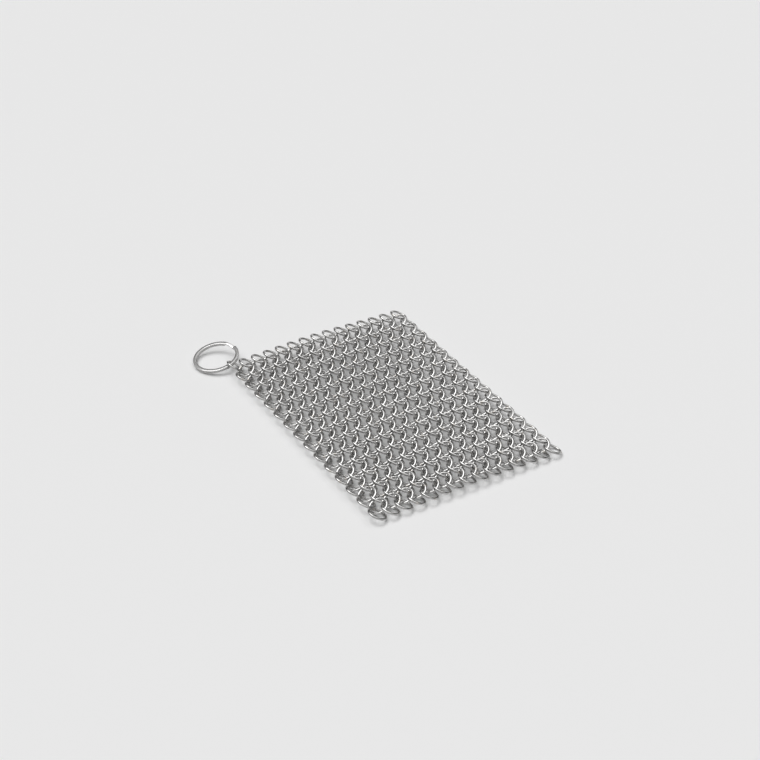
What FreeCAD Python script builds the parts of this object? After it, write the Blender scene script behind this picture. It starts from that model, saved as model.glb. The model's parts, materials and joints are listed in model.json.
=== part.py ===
"""Chain-mail pot scrubber: a sheet of linked wire rings with a split ring at one corner.

Millimetres, +Z up. X runs along the ring rows and Y across them. The sheet lies on Z = 0, and the
middle of its underside is the origin. The corner with the split ring is at -X and -Y.
"""

import FreeCAD, Part
import math
import os

import Sketcher

# Driving dimensions in millimetres and degrees, and counts
SIZES = {
    "wire_diameter": 1.2,
    "ring_inner_diameter": 7.4,
    "ring_side_gap": 0.3,
    "ring_end_gap": 1.5,
    "ring_tilt": 25,
    "long_row_rings": 15,
    "long_rows": 15,
    "sheet_crown": 1.3,
    "corner_extra_tilt": 10.5,
    "corner_ring_pull_x": 0.25,
    "corner_ring_pull_y": 0.1,
    "split_ring_diameter": 24,
    "split_band_width": 1.8,
    "split_turn_height": 0.7,
    "split_turn_gap": 0.42,
    "split_edge_radius": 0.25,
    "split_seat_gap": 0.87,
    "split_seat_rise": 0.81,
    "split_row_gap": 0.2,
    "split_step_direction": 110,
    "split_step_angle": 30,
    "split_end_angle": 3,
}
STEP_SECTIONS = 7

doc = FreeCAD.newDocument("pot_scrubber")
sheet = doc.addObject("Spreadsheet::Sheet", "sheet")
for row, (alias, value) in enumerate(SIZES.items(), start=1):
    sheet.set(f"A{row}", alias)
    sheet.set(f"B{row}", str(value))
    sheet.setAlias(f"B{row}", alias)
doc.recompute()

# Ring sizes worked out from the sheet
RING_RADIUS = "((sheet.ring_inner_diameter + sheet.wire_diameter) / 2)"
RING_TILT = "(sheet.ring_tilt * 1 deg)"
RING_PITCH = "(sheet.ring_inner_diameter + 2 * sheet.wire_diameter + sheet.ring_side_gap)"
RING_LIFT = f"({RING_RADIUS} * sin({RING_TILT}) + sheet.wire_diameter / 2)"

# A tilted ring is this wide across the rows, and rows three apart clear each other by a gap
RING_WIDTH = f"(2 * {RING_RADIUS} * cos({RING_TILT}) + sheet.wire_diameter)"
ROW_PITCH = f"(({RING_WIDTH} + sheet.ring_end_gap) / 3)"

# First ring of the first row, where the lattice has its corner
CORNER_X = f"(-(sheet.long_row_rings - 1) / 2 * {RING_PITCH})"
CORNER_Y = f"(-(sheet.long_rows - 1) * {ROW_PITCH})"

# The corner ring is pulled outwards and lies steeper than its row
PULLED_X = f"({CORNER_X} - sheet.corner_ring_pull_x)"
PULLED_Y = f"({CORNER_Y} - sheet.corner_ring_pull_y)"
CORNER_TILT = "((sheet.ring_tilt + sheet.corner_extra_tilt) * 1 deg)"
CORNER_LIFT = f"({RING_RADIUS} * sin({CORNER_TILT}) + sheet.wire_diameter / 2)"

# The split ring's band passes through the corner ring, and the ring lies outwards from there
BAND_RADIUS = "((sheet.split_ring_diameter - sheet.split_band_width) / 2)"
BAND_HEIGHT = "(2 * sheet.split_turn_height + sheet.split_turn_gap)"
SEAT = "((sheet.ring_inner_diameter - sheet.split_band_width) / 2 - sheet.split_seat_gap)"
SPLIT_REACH = f"({SEAT} + {BAND_RADIUS})"

# It is turned away from the sheet until it clears the end ring of the third row
END_RING_X = "sheet.corner_ring_pull_x"
END_RING_Y = f"(2 * {ROW_PITCH} + sheet.corner_ring_pull_y)"
END_RING_REACH = f"sqrt({END_RING_X} ^ 2 + {END_RING_Y} ^ 2)"
RING_EDGE = f"({RING_RADIUS} + sheet.wire_diameter / 2)"
CLEAR_REACH = f"(sheet.split_ring_diameter / 2 + {RING_EDGE} + sheet.split_row_gap)"
TURN_COSINE = f"({END_RING_REACH} ^ 2 + {SPLIT_REACH} ^ 2 - {CLEAR_REACH} ^ 2)"
TURN_ANGLE = f"acos({TURN_COSINE} / (2 * {END_RING_REACH} * {SPLIT_REACH}))"
SPLIT_DIRECTION = f"(atan2({END_RING_Y}; {END_RING_X}) + {TURN_ANGLE})"
SPLIT_X = f"({PULLED_X} + {SPLIT_REACH} * cos({SPLIT_DIRECTION}))"
SPLIT_Y = f"({PULLED_Y} + {SPLIT_REACH} * sin({SPLIT_DIRECTION}))"

# It leans from the ground up to its seat, a little above the corner ring's middle
SEAT_LIFT = f"({CORNER_LIFT} + sheet.split_seat_rise)"
LEAN_LENGTH = f"(sheet.split_ring_diameter / 2 - {BAND_RADIUS} * sin({SPLIT_DIRECTION}))"
SPLIT_TILT = f"asin(({SEAT_LIFT} - {BAND_HEIGHT} / 2) / {LEAN_LENGTH})"
SPLIT_EDGE_RISE = f"(sheet.split_ring_diameter / 2 * sin({SPLIT_TILT}))"
SPLIT_LIFT = f"({SPLIT_EDGE_RISE} + {BAND_HEIGHT} / 2 * cos({SPLIT_TILT}))"

TILT_UP = FreeCAD.Vector(1, 0, 0)
TILT_DOWN = FreeCAD.Vector(-1, 0, 0)
UPRIGHT = FreeCAD.Vector(0, 1, 0)


def new_body(label):
    """An empty body and its origin planes and axes by role."""
    body = doc.addObject("PartDesign::Body", label)
    body.AllowCompound = True
    return body, {feature.Role: feature for feature in body.Origin.OriginFeatures}


def place(body, x, y, z, tilt_axis, tilt):
    """Tilts a body about X and moves it to its place, all from the sheet."""
    body.Placement = FreeCAD.Placement(FreeCAD.Vector(), FreeCAD.Rotation(tilt_axis, 1))
    body.setExpression("Placement.Base.x", x)
    body.setExpression("Placement.Base.y", y)
    body.setExpression("Placement.Base.z", z)
    body.setExpression("Placement.Rotation.Angle", tilt)


def wire_ring(label):
    """One closed ring of round wire, flat in the body's XY plane."""
    body, origin = new_body(label)
    section = body.newObject("Sketcher::SketchObject", f"{label}_wire")
    section.AttachmentSupport = [(origin["XZ_Plane"], "")]
    section.MapMode = "FlatFace"
    start = FreeCAD.Vector(SIZES["ring_inner_diameter"], 0, 0)
    section.addGeometry(Part.Circle(start, FreeCAD.Vector(0, 0, 1), SIZES["wire_diameter"]))
    section.addConstraint(Sketcher.Constraint("PointOnObject", 0, 3, -1))
    reach = section.addConstraint(Sketcher.Constraint("DistanceX", -1, 1, 0, 3, start.x))
    section.setExpression(f"Constraints[{reach}]", RING_RADIUS)
    across = section.addConstraint(Sketcher.Constraint("Diameter", 0, SIZES["wire_diameter"]))
    section.setExpression(f"Constraints[{across}]", "sheet.wire_diameter")
    ring = body.newObject("PartDesign::Revolution", f"{label}_ring")
    ring.Profile = section
    ring.ReferenceAxis = (origin["Z_Axis"], [""])
    ring.Angle = 360
    return body, origin, ring


def ring_row(number, count, first_x, tilt_axis):
    """A row of equal rings side by side along X, lifted by the sheet's slight crown across the rows."""
    label = f"ring_row_{number:02d}"
    body, origin, ring = wire_ring(label)
    pattern = body.newObject("PartDesign::LinearPattern", f"{label}_pattern")
    pattern.Originals = [ring]
    pattern.Direction = (origin["X_Axis"], [""])
    pattern.Mode = "Spacing"
    pattern.setExpression("Offset", RING_PITCH)
    pattern.setExpression("Occurrences", count)
    body.Tip = pattern
    across = f"({number - 1} / (2 * sheet.long_rows - 2))"
    crown = f"sheet.sheet_crown * (1 - cos({across} * 360 deg)) / 2"
    row_y = f"{CORNER_Y} + {number - 1} * {ROW_PITCH}"
    place(body, first_x, row_y, f"{RING_LIFT} + {crown}", tilt_axis, RING_TILT)
    return body


def ring_rows():
    """Long rows with one tilt, and between them short rows, half a pitch in, with the other tilt."""
    full, one_less = "sheet.long_row_rings", "sheet.long_row_rings - 1"
    # the first place of the first row belongs to the corner ring
    rows = [ring_row(1, one_less, f"{CORNER_X} + {RING_PITCH}", TILT_DOWN)]
    for number in range(2, 2 * int(sheet.long_rows)):
        if number % 2 == 0:
            rows.append(ring_row(number, one_less, f"{CORNER_X} + {RING_PITCH} / 2", TILT_UP))
        else:
            rows.append(ring_row(number, full, CORNER_X, TILT_DOWN))
    return rows


def corner_ring():
    """The ring that carries the split ring, linked to the sheet by one ring of the second row."""
    body = wire_ring("corner_ring")[0]
    place(body, PULLED_X, PULLED_Y, CORNER_LIFT, TILT_DOWN, CORNER_TILT)
    return body


def band_section(body, origin, name, angle, height):
    """A rounded wire section of the split ring, upright at an angle about Z and at a height."""
    sketch = body.newObject("Sketcher::SketchObject", name)
    sketch.AttachmentSupport = [(origin["XZ_Plane"], "")]
    sketch.MapMode = "FlatFace"
    sketch.AttachmentOffset = FreeCAD.Placement(FreeCAD.Vector(), FreeCAD.Rotation(UPRIGHT, 1))
    sketch.setExpression("AttachmentOffset.Rotation.Angle", angle)
    sketch.setExpression("AttachmentOffset.Base.y", height)
    middle = (SIZES["split_ring_diameter"] - SIZES["split_band_width"]) / 2
    half_width, half_height = SIZES["split_band_width"] / 2, SIZES["split_turn_height"] / 2
    radius = SIZES["split_edge_radius"]
    corners = [
        FreeCAD.Vector(middle + side * (half_width - radius), level * (half_height - radius), 0)
        for side, level in [(1, -1), (1, 1), (-1, 1), (-1, -1)]
    ]
    for turn, centre in enumerate(corners):
        # an arc round this corner, then the straight side to the next one
        circle = Part.Circle(centre, FreeCAD.Vector(0, 0, 1), radius)
        first = (turn - 1) * math.pi / 2
        sketch.addGeometry(Part.ArcOfCircle(circle, first, first + math.pi / 2))
        outwards = FreeCAD.Vector(math.cos(first + math.pi / 2), math.sin(first + math.pi / 2), 0) * radius
        sketch.addGeometry(Part.LineSegment(centre + outwards, corners[(turn + 1) % 4] + outwards))
    for turn in range(4):
        arc, side, next_arc = 2 * turn, 2 * turn + 1, (2 * turn + 2) % 8
        sketch.addConstraint(Sketcher.Constraint("Tangent", arc, 2, side, 1))
        sketch.addConstraint(Sketcher.Constraint("Tangent", side, 2, next_arc, 1))
        if turn:
            sketch.addConstraint(Sketcher.Constraint("Equal", 0, arc))
    sketch.addConstraint(Sketcher.Constraint("Vertical", 1))
    sketch.addConstraint(Sketcher.Constraint("Horizontal", 3))
    outer_edge = "sheet.split_ring_diameter / 2"
    inner_edge = f"{outer_edge} - sheet.split_band_width"
    face_height = "sheet.split_turn_height / 2"
    measures = [
        (Sketcher.Constraint("Radius", 0, radius), "sheet.split_edge_radius"),
        (Sketcher.Constraint("DistanceX", -1, 1, 1, 1, middle + half_width), outer_edge),
        (Sketcher.Constraint("DistanceX", -1, 1, 5, 1, middle - half_width), inner_edge),
        (Sketcher.Constraint("DistanceY", -1, 1, 3, 1, half_height), face_height),
        (Sketcher.Constraint("DistanceY", 7, 1, -1, 1, half_height), face_height),
    ]
    for constraint, expression in measures:
        index = sketch.addConstraint(constraint)
        sketch.setExpression(f"Constraints[{index}]", expression)
    return sketch


def split_turn(body, origin, name, angle, height):
    """One flat turn of the split ring, from an angle about Z up to the next step."""
    turn = body.newObject("PartDesign::Revolution", name)
    turn.Profile = band_section(body, origin, f"{name}_wire", angle, height)
    turn.ReferenceAxis = (origin["Z_Axis"], [""])
    turn.setExpression("Angle", "360 - sheet.split_step_angle - sheet.split_end_angle")
    return turn


def step_climb(share):
    """Height of the step from its middle, as a share of the whole rise, smooth at both ends."""
    return share * share * (3 - 2 * share) - 0.5


def split_ring():
    """Two flat turns of wire, joined by a step where the wire climbs from the lower to the upper one."""
    body, origin = new_body("split_ring")
    rise = "(sheet.split_turn_height + sheet.split_turn_gap)"
    before = "(sheet.split_step_direction - sheet.split_step_angle / 2)"
    after = "(sheet.split_step_direction + sheet.split_step_angle / 2)"
    split_turn(body, origin, "lower_turn", f"{after} + sheet.split_end_angle", f"-{rise} / 2")
    sections = []
    for number in range(STEP_SECTIONS):
        share = number / (STEP_SECTIONS - 1)
        climb = step_climb(share)
        angle = f"{before} + {share} * sheet.split_step_angle"
        sections.append(band_section(body, origin, f"step_wire_{number + 1}", angle, f"{climb} * {rise}"))
    doc.recompute()
    step = body.newObject("PartDesign::AdditiveLoft", "step")
    step.Profile = sections[0]
    step.Sections = sections[1:]
    body.Tip = split_turn(body, origin, "upper_turn", after, f"{rise} / 2")
    place(body, SPLIT_X, SPLIT_Y, SPLIT_LIFT, TILT_UP, SPLIT_TILT)
    return body


def least_turn_gap():
    """Least gap between the split ring's turns, measured on points one degree apart along the wire."""
    rise = sheet.split_turn_height + sheet.split_turn_gap
    inner_radius = sheet.split_ring_diameter / 2 - sheet.split_band_width
    turn = 360 - sheet.split_step_angle - sheet.split_end_angle
    points = [(angle, -rise / 2) for angle in range(int(turn) + 1)]
    points += [(turn + angle, step_climb(angle / sheet.split_step_angle) * rise)
               for angle in range(int(sheet.split_step_angle) + 1)]
    points += [(turn + sheet.split_step_angle + angle, rise / 2) for angle in range(int(turn) + 1)]
    gaps = []
    for place_a, height_a in points:
        for place_b, height_b in points:
            if 180 < place_b - place_a < 540:
                along = math.radians(place_b - place_a - 360) * inner_radius
                gaps.append(math.hypot(along, max(0, height_b - height_a - sheet.split_turn_height)))
    return min(gaps)


parts = ring_rows() + [corner_ring(), split_ring()]
doc.recompute()

for item in doc.Objects:
    if "Invalid" in item.State or "Error" in item.State:
        raise RuntimeError(f"{item.Label} did not build: {item.State}")
for part in parts:
    if part.Shape.isNull() or not part.Shape.isValid():
        raise RuntimeError(f"{part.Label} has no valid shape")

os.makedirs("parts", exist_ok=True)
for part in parts:
    part.Shape.exportStep(f"parts/{part.Label}.step")
print(f"least gap between the split ring's turns: {least_turn_gap():.3f} mm")
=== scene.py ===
"""Looks of the chain-mail pot scrubber: steel rings and a split ring on a pale floor, in metres."""

import json
import math
import random

import bpy
import numpy as np
from mathutils import Matrix, Vector


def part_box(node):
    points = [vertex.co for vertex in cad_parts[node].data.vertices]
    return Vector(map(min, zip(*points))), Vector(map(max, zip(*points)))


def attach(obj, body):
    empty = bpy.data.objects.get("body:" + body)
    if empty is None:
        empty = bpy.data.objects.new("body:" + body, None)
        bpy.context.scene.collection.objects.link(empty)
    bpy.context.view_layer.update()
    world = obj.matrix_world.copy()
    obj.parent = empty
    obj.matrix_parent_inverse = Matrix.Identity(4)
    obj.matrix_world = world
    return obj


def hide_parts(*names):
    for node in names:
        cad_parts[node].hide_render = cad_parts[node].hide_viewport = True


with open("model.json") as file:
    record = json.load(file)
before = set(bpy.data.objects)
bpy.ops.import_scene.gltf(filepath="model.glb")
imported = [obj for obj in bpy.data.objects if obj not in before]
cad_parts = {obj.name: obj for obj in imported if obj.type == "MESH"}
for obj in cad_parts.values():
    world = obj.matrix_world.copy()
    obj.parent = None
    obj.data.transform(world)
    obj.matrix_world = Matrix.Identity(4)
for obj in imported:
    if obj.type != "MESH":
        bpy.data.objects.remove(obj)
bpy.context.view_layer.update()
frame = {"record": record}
scene = bpy.context.scene

# Woven rings: wire radius, ring radius to the wire's middle, pitch along a row, number of rows
WIRE = 0.0006
RING = 0.0043
PITCH = 0.0101
ROWS = 29

# A ring's weld: how far it reaches round the ring, and how much thicker the wire is there
WELD_REACH = math.radians(7)
WELD_SWELLING = 0.05

# How far the rings of a row are out of line, and how much of that the crown's steepest rows lose
SHIFT = 0.00004
TURN = math.radians(0.9)
STEEP_LOSS = 0.75

# Split ring: radius to the band's middle, band width, height of a turn, rise to the next turn,
# and radius of the band's edges
BAND = 0.0111
BAND_WIDTH = 0.0018
TURN_HEIGHT = 0.00084
TURN_RISE = 0.00098
BAND_EDGE = 0.00028

# Split ring, in degrees: where its step is, how long that is, and the room from it to each end
STEP_PLACE, STEP_ANGLE, END_ANGLE = 110, 30, 3

# Rounded ends of the band: degrees past the last full section, and the section's scale there
END_REACH = np.array((0.35, 0.5))
END_SCALE = np.array((0.9, 0.72))

# How finely the wire is cut: points along and around a ring, degrees along the band, and parts
# of each of the band's edges
ALONG = 56
AROUND = 12
BAND_CUT = 3.0
EDGE_PARTS = 4

# The wire's own map, in millimetres along and around: a whole ring, one step of the band, and
# how far the rings' maps may be shifted
RING_MAP = (27.0, 3.8)
BAND_MAP = (0.58, 0.24)
MAP_SHIFT = 900
MILLIMETRES = 1000

# The bake's map: margin in a ring's cell, lines that the band is cut into, margin in a line and
# how much of it is filled, and the size, place and distance of the band's two ends
CELL_MARGIN = 0.03
BAND_LINES = 8
LINE_MARGIN, LINE_FILL = 0.05, 0.9
END_SIZE, END_PLACE, END_APART = (0.06, 0.3), (0.95, 0.3), 0.4

# Noises of the steel: draw lines stretched along the wire, smudges to the metre, and the detail
# and usual range of both
DRAW_LINES = (0.35, 9.0, 1)
SMUDGES = 260.0
NOISE_DETAIL, NOISE_LOW, NOISE_HIGH = 3.0, 0.3, 0.7

# Steel: how far smudges and a ring's own tone dull it, and how far a weld tints it
SMUDGE_DULLS, RING_DULLS, WELD_TINTS = 0.6, 0.4, 0.5

# Steel: roughness across the draw lines, what smudges and welds add to it, and the lines' bump
SMOOTH, ROUGH, SMUDGE_ROUGH, WELD_ROUGH = 0.11, 0.24, 0.05, 0.12
LINE_STRENGTH, LINE_DEPTH = 0.25, 0.00002

chance = random.Random(421)


def new_object(name, data):
    """An object in the scene that holds the data."""
    item = bpy.data.objects.new(name, data)
    scene.collection.objects.link(item)
    return item


def nodes_of(material):
    """The node tree of a material, cleared down to its shader and output."""
    material.use_nodes = True
    tree = material.node_tree
    tree.nodes.clear()
    shader = tree.nodes.new("ShaderNodeBsdfPrincipled")
    output = tree.nodes.new("ShaderNodeOutputMaterial")
    tree.links.new(shader.outputs["BSDF"], output.inputs["Surface"])
    return tree, shader


def noise(tree, coordinates, scale, stretch=(1, 1, 1)):
    """A noise texture on the given coordinates, drawn out by stretch."""
    mapping = tree.nodes.new("ShaderNodeMapping")
    mapping.inputs["Scale"].default_value = stretch
    tree.links.new(coordinates, mapping.inputs["Vector"])
    texture = tree.nodes.new("ShaderNodeTexNoise")
    texture.inputs["Scale"].default_value = scale
    texture.inputs["Detail"].default_value = NOISE_DETAIL
    tree.links.new(mapping.outputs["Vector"], texture.inputs["Vector"])
    return texture.outputs["Fac"]


def spread(tree, value, low, high):
    """A noise's usual range mapped to another range."""
    node = tree.nodes.new("ShaderNodeMapRange")
    node.inputs["From Min"].default_value = NOISE_LOW
    node.inputs["From Max"].default_value = NOISE_HIGH
    node.inputs["To Min"].default_value = low
    node.inputs["To Max"].default_value = high
    tree.links.new(value, node.inputs["Value"])
    return node.outputs["Result"]


def mix(tree, factor, first, second):
    """A colour between two others, each of them a colour or a socket."""
    node = tree.nodes.new("ShaderNodeMix")
    node.data_type = "RGBA"
    tree.links.new(factor, node.inputs["Factor"])
    colours = [socket for socket in node.inputs if socket.type == "RGBA"]
    for socket, value in zip(colours, (first, second)):
        if isinstance(value, tuple):
            socket.default_value = (*value, 1)
        else:
            tree.links.new(value, socket)
    return next(socket for socket in node.outputs if socket.type == "RGBA")


def maths(tree, operation, first, second):
    """A sum or product of two values, the second a number or a socket."""
    node = tree.nodes.new("ShaderNodeMath")
    node.operation = operation
    tree.links.new(first, node.inputs[0])
    if isinstance(second, float):
        node.inputs[1].default_value = second
    else:
        tree.links.new(second, node.inputs[1])
    return node.outputs["Value"]


def attribute(tree, name):
    """A number kept on the mesh."""
    node = tree.nodes.new("ShaderNodeAttribute")
    node.attribute_name = name
    return node.outputs["Fac"]


def steel(name, bright, dull, tint):
    """Polished steel wire with draw lines along it, faint smudges and tinted welds."""
    material = bpy.data.materials.new(name)
    tree, shader = nodes_of(material)
    wire = tree.nodes.new("ShaderNodeUVMap")
    wire.uv_map = "wire"
    place = tree.nodes.new("ShaderNodeTexCoord").outputs["Object"]
    lines = noise(tree, wire.outputs["UV"], 1.0, DRAW_LINES)
    smudge = noise(tree, place, SMUDGES)
    weld = attribute(tree, "weld")
    # each ring has its own tone, and smudges dull it a little
    own_tone = maths(tree, "MULTIPLY", attribute(tree, "ring_shade"), RING_DULLS)
    tone = maths(tree, "ADD", spread(tree, smudge, 0.0, SMUDGE_DULLS), own_tone)
    colour = mix(tree, tone, bright, dull)
    colour = mix(tree, maths(tree, "MULTIPLY", weld, WELD_TINTS), colour, tint)
    tree.links.new(colour, shader.inputs["Base Color"])
    # the roughness follows the draw lines, and smudges and welds add to it
    grain = spread(tree, lines, SMOOTH, ROUGH)
    grain = maths(tree, "ADD", grain, spread(tree, smudge, 0.0, SMUDGE_ROUGH))
    grain = maths(tree, "ADD", grain, maths(tree, "MULTIPLY", weld, WELD_ROUGH))
    tree.links.new(grain, shader.inputs["Roughness"])
    shader.inputs["Metallic"].default_value = 1.0
    bump = tree.nodes.new("ShaderNodeBump")
    bump.inputs["Strength"].default_value = LINE_STRENGTH
    bump.inputs["Distance"].default_value = LINE_DEPTH
    tree.links.new(lines, bump.inputs["Height"])
    tree.links.new(bump.outputs["Normal"], shader.inputs["Normal"])
    return material


def make_piece(name, points, faces, wire_uv, bake_uv, shades, welds, material):
    """A smooth mesh of quads with its two UV maps and its numbers per point."""
    mesh = bpy.data.meshes.new(name)
    mesh.vertices.add(len(points))
    mesh.vertices.foreach_set("co", np.asarray(points, np.float32).ravel())
    mesh.loops.add(faces.size)
    mesh.loops.foreach_set("vertex_index", np.asarray(faces, np.int32).ravel())
    mesh.polygons.add(len(faces))
    mesh.polygons.foreach_set("loop_start", np.arange(0, faces.size, 4, dtype=np.int32))
    for label, values in (("OFBake", bake_uv), ("wire", wire_uv)):
        layer = mesh.uv_layers.new(name=label)
        layer.data.foreach_set("uv", np.asarray(values, np.float32).ravel())
    for label, values in (("ring_shade", shades), ("weld", welds)):
        numbers = mesh.attributes.new(label, "FLOAT", "POINT")
        numbers.data.foreach_set("value", np.asarray(values, np.float32))
    mesh.update(calc_edges=True)
    mesh.validate()
    mesh.shade_smooth()
    mesh.materials.append(material)
    return new_object(name, mesh)


def stand_for(piece, node):
    """The piece rides on the node's body and takes its place."""
    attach(piece, node)
    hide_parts(node)


def round_points(out, angles, rise):
    """Points at the given distances from the axis and heights, in rows of one angle each."""
    cosines, sines = np.cos(angles)[:, None], np.sin(angles)[:, None]
    return np.stack([out * cosines, out * sines, rise], -1)


def ring_points(turn, weld_at):
    """Points of a wire ring about the origin, turned by a matrix, and how near its weld each is."""
    along = np.arange(ALONG) * 2 * math.pi / ALONG
    around = np.arange(AROUND) * 2 * math.pi / AROUND
    off = np.abs((along - weld_at + math.pi) % (2 * math.pi) - math.pi)
    weld = np.exp(-(off / WELD_REACH) ** 2)
    wire = WIRE * (1 + WELD_SWELLING * weld[:, None])
    points = round_points(RING + wire * np.cos(around), along, wire * np.sin(around))
    return points.reshape(-1, 3) @ np.array(turn).T, np.repeat(weld, AROUND)


def grid_faces(rows, columns):
    """Quads of a grid of points that closes across its columns, and the steps of each corner."""
    a, b = np.meshgrid(np.arange(rows), np.arange(columns), indexing="ij")
    corners = [(a, b), (a + 1, b), (a + 1, b + 1), (a, b + 1)]
    faces = np.stack([i * columns + j % columns for i, j in corners], -1)
    steps = np.stack([np.stack([i, j], -1) for i, j in corners], -2)
    return faces.reshape(-1, 4), steps.reshape(-1, 2).astype(float)


def ring_piece(name, centres, turns, material):
    """A piece of several rings, each with its own place, turn, tone and weld."""
    gathered = []
    columns = min(2, len(centres))
    lines = math.ceil(len(centres) / columns)
    for number, (centre, turn) in enumerate(zip(centres, turns)):
        points, weld = ring_points(turn, chance.uniform(0, 2 * math.pi))
        faces, steps = grid_faces(ALONG, AROUND)
        faces = faces % (ALONG * AROUND) + number * ALONG * AROUND
        share = steps / (ALONG, AROUND)
        wire_uv = share * RING_MAP + chance.uniform(0, MAP_SHIFT)
        cell = np.array((number % columns, number // columns))
        bake_uv = (cell + CELL_MARGIN + (1 - 2 * CELL_MARGIN) * share) / (columns, lines)
        shade = np.full(len(points), chance.random())
        gathered.append((points + np.array(centre), faces, wire_uv, bake_uv, shade, weld))
    return make_piece(name, *(np.concatenate(part) for part in zip(*gathered)), material)


def turned(lean, roll):
    """A turn about X after a turn about Y."""
    return Matrix.Rotation(lean, 3, "X") @ Matrix.Rotation(roll, 3, "Y")


def lean_of(node):
    """How steeply the rings of a node lie, from the height of its box."""
    low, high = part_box(node)
    return math.asin(((high.z - low.z) / 2 - WIRE) / RING)


def woven_row(number):
    """One row of rings, each a little out of line, and least where the crown is steepest."""
    node = f"ring_row_{number:02d}"
    low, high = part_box(node)
    middle = (low + high) / 2
    lean = lean_of(node) * (-1 if number % 2 else 1)
    count = round((high.x - low.x - 2 * (RING + WIRE)) / PITCH) + 1
    play = 1 - STEEP_LOSS * abs(math.sin(2 * math.pi * (number - 1) / (ROWS - 1)))
    slip, turn = play * SHIFT, play * TURN
    centres, turns = [], []
    for place in range(count):
        x = low.x + RING + WIRE + place * PITCH + chance.uniform(-slip, slip)
        y = middle.y + chance.uniform(-slip, slip)
        centres.append((x, y, middle.z))
        turns.append(turned(lean + chance.uniform(-turn, turn), chance.uniform(-turn, turn)))
    stand_for(ring_piece(f"{node}_wire", centres, turns, ring_steel), node)


def corner_ring(node):
    """The single ring that carries the split ring."""
    low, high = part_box(node)
    turn = turned(-lean_of(node), 0)
    piece = ring_piece(f"{node}_wire", [(low + high) / 2], [turn], ring_steel)
    stand_for(piece, node)


def band_outline():
    """Points round the split ring's wire section: across and up from its middle."""
    points = []
    for quarter, (side, level) in enumerate([(1, 1), (-1, 1), (-1, -1), (1, -1)]):
        for part in range(EDGE_PARTS + 1):
            angle = (quarter + part / EDGE_PARTS) * math.pi / 2
            points.append((side * (BAND_WIDTH / 2 - BAND_EDGE) + BAND_EDGE * math.cos(angle),
                           level * (TURN_HEIGHT / 2 - BAND_EDGE) + BAND_EDGE * math.sin(angle)))
    return np.array(points)


def split_ring(node):
    """Two tight turns of flat wire with a step between them and rounded ends."""
    flat = 360 - STEP_ANGLE - END_ANGLE
    start = STEP_PLACE + STEP_ANGLE / 2 + END_ANGLE
    full = np.arange(0, 2 * flat + STEP_ANGLE + 1, BAND_CUT)
    along = np.concatenate([-END_REACH[::-1], full, full[-1] + END_REACH])
    share = np.clip((along - flat) / STEP_ANGLE, 0, 1)
    heights = TURN_RISE * (share * share * (3 - 2 * share) - 0.5)
    scale = np.concatenate([END_SCALE[::-1], np.ones(len(full)), END_SCALE])[:, None]
    outline = band_outline()
    rise = heights[:, None] + scale * outline[:, 1]
    points = round_points(BAND + scale * outline[:, 0], np.radians(start + along), rise)
    mount = next(m for m in frame["record"]["mounts"] if m["name"] == "hanging_loop")
    tilt = Matrix.Rotation(math.atan2(-mount["axis"][1], mount["axis"][2]), 3, "X")
    points = points.reshape(-1, 3) @ np.array(tilt).T + np.array(mount["pos_m"])
    rows, columns = len(along), len(outline)
    faces, steps = grid_faces(rows - 1, columns)
    # both ends are closed by strips across the section
    near = [(i, i + 1, columns - 2 - i, columns - 1 - i) for i in range(columns // 2 - 1)]
    far = [tuple((rows - 1) * columns + i for i in reversed(strip)) for strip in near]
    ends = np.array(near + far)
    end_places = outline[ends % columns].reshape(-1, 2)
    wire_uv = np.concatenate([steps * BAND_MAP, end_places * MILLIMETRES])
    # the long strip is cut into lines of the bake's map, and the ends lie beside them
    length = math.ceil((rows - 1) / BAND_LINES)
    line = np.repeat(steps[::4, 0], 4) // length
    bake_u = (steps[:, 0] - line * length) / length * LINE_FILL
    bake_v = (line + LINE_MARGIN + LINE_FILL * steps[:, 1] / columns) / BAND_LINES
    end_uv = end_places / BAND_WIDTH * END_SIZE + END_PLACE
    end_uv[len(near) * 4:, 1] += END_APART
    bake_uv = np.concatenate([np.stack([bake_u, bake_v], -1), end_uv])
    none = np.zeros(len(points))
    faces = np.concatenate([faces, ends])
    piece = make_piece(f"{node}_band", points, faces, wire_uv, bake_uv, none, none, split_steel)
    stand_for(piece, node)


# Steels: colour where bright, colour where dull, and tint of a weld
ring_steel = steel("ring_wire_steel",
                   (0.66, 0.655, 0.645), (0.47, 0.465, 0.46), (0.44, 0.39, 0.33))
split_steel = steel("split_ring_steel",
                    (0.67, 0.665, 0.66), (0.52, 0.515, 0.51), (0.50, 0.495, 0.48))

for number in range(1, ROWS + 1):
    woven_row(number)
corner_ring("corner_ring")
split_ring("split_ring")

# Pale floor, just under the wires
FLOOR_HALF, FLOOR_DROP = 40, 0.0001
FLOOR_COLOUR, FLOOR_ROUGH = (0.86, 0.86, 0.86, 1), 0.9
floor_mesh = bpy.data.meshes.new("floor")
floor_corners = [(-FLOOR_HALF, -FLOOR_HALF, 0), (FLOOR_HALF, -FLOOR_HALF, 0),
                 (FLOOR_HALF, FLOOR_HALF, 0), (-FLOOR_HALF, FLOOR_HALF, 0)]
floor_mesh.from_pydata(floor_corners, [], [(0, 1, 2, 3)])
floor = new_object("floor", floor_mesh)
floor.location.z = -FLOOR_DROP
floor_material = bpy.data.materials.new("floor_pale")
floor_shader = nodes_of(floor_material)[1]
floor_shader.inputs["Base Color"].default_value = FLOOR_COLOUR
floor_shader.inputs["Roughness"].default_value = FLOOR_ROUGH
floor_mesh.materials.append(floor_material)

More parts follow.
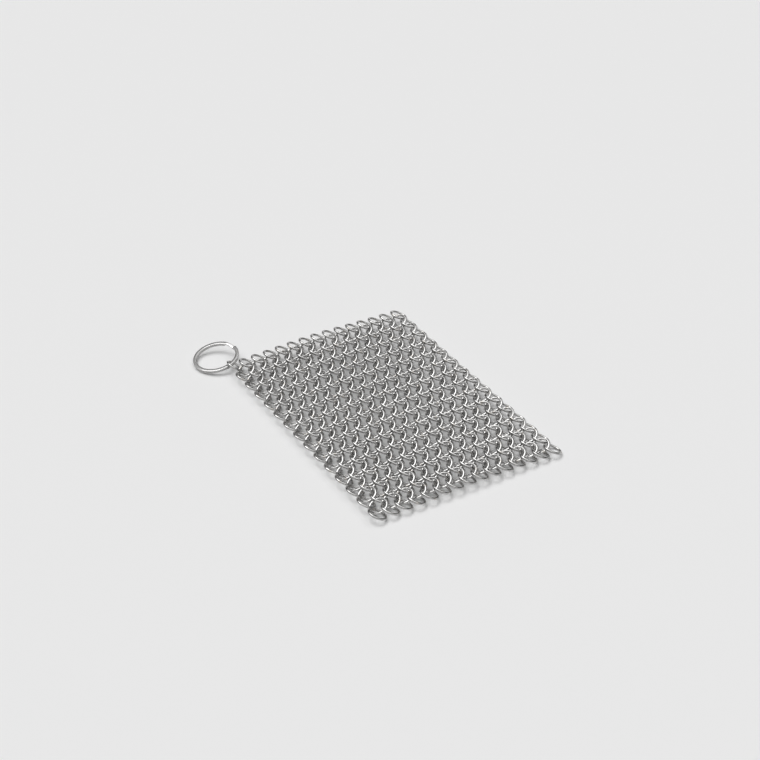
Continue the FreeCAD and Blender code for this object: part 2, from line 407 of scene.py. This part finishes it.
# Soft surroundings, from the horizon at 0 to straight up at 1: a horizon about as pale as the
# floor, dark sides and a wide pale light overhead
SKY_STRENGTH = 1.2
SKY_LEVELS = ((0.05, 0.645), (0.2, 0.04), (0.5, 0.04), (0.85, 1.0))
world = bpy.data.worlds.new("studio")
scene.world = world
world.use_nodes = True
sky = world.node_tree
sky.nodes.clear()
background = sky.nodes.new("ShaderNodeBackground")
background.inputs["Strength"].default_value = SKY_STRENGTH
sky_output = sky.nodes.new("ShaderNodeOutputWorld")
sky.links.new(background.outputs["Background"], sky_output.inputs["Surface"])
direction = sky.nodes.new("ShaderNodeSeparateXYZ")
sky_place = sky.nodes.new("ShaderNodeTexCoord").outputs["Generated"]
sky.links.new(sky_place, direction.inputs["Vector"])
levels = sky.nodes.new("ShaderNodeValToRGB")
levels.color_ramp.interpolation = "EASE"
sky.links.new(direction.outputs["Z"], levels.inputs["Fac"])
sky.links.new(levels.outputs["Color"], background.inputs["Color"])
stops = levels.color_ramp.elements
for height, level in SKY_LEVELS:
    stops.new(height).color = (level, level, level, 1)
# the two stops that a new ramp starts with are taken out
stops.remove(stops[0])
stops.remove(stops[-1])

# Directions as the camera sees them: right and away along the ground, and straight up
AZIMUTH, ELEVATION = math.radians(59), math.radians(34)
away = Vector((-math.sin(AZIMUTH), math.cos(AZIMUTH), 0))
right = Vector((away.y, -away.x, 0))
up = Vector((0, 0, 1))

# One soft lamp far off, above the sheet and a little to the left and behind it
KEY_RIGHT, KEY_AWAY, KEY_UP = -0.4, 0.3, 1.0
KEY_WIDTH, KEY_STRENGTH = math.radians(34), 0.9
key_data = bpy.data.lights.new("key_light", "SUN")
key_data.angle = KEY_WIDTH
key_data.energy = KEY_STRENGTH
key = new_object("key_light", key_data)
key.location = KEY_RIGHT * right + KEY_AWAY * away + KEY_UP * up
key.rotation_mode = "QUATERNION"
key.rotation_quaternion = (-key.location).to_track_quat("-Z", "Y")

# Camera: image width and focal length in pixels, metres to a pixel at the aim, and the aim on
# the floor, with its pixels to the right of the image's middle and below it
IMAGE, FOCAL, PIXEL, SENSOR = 760, 1800.0, 0.00049, 36.0
AIM, AIM_RIGHT, AIM_BELOW = Vector((0.01382027, -0.00538751, 0)), 14, 48
forward = math.cos(ELEVATION) * away - math.sin(ELEVATION) * up
upward = math.sin(ELEVATION) * away + math.cos(ELEVATION) * up
camera_data = bpy.data.cameras.new("camera")
camera_data.sensor_width = SENSOR
camera_data.lens = SENSOR * FOCAL / IMAGE
camera_data.clip_start = 0.01
camera = new_object("camera", camera_data)
camera.location = AIM - PIXEL * (FOCAL * forward + AIM_RIGHT * right - AIM_BELOW * upward)
camera.rotation_mode = "QUATERNION"
camera.rotation_quaternion = forward.to_track_quat("-Z", "Y")
scene.camera = camera
scene.view_settings.view_transform = "Standard"
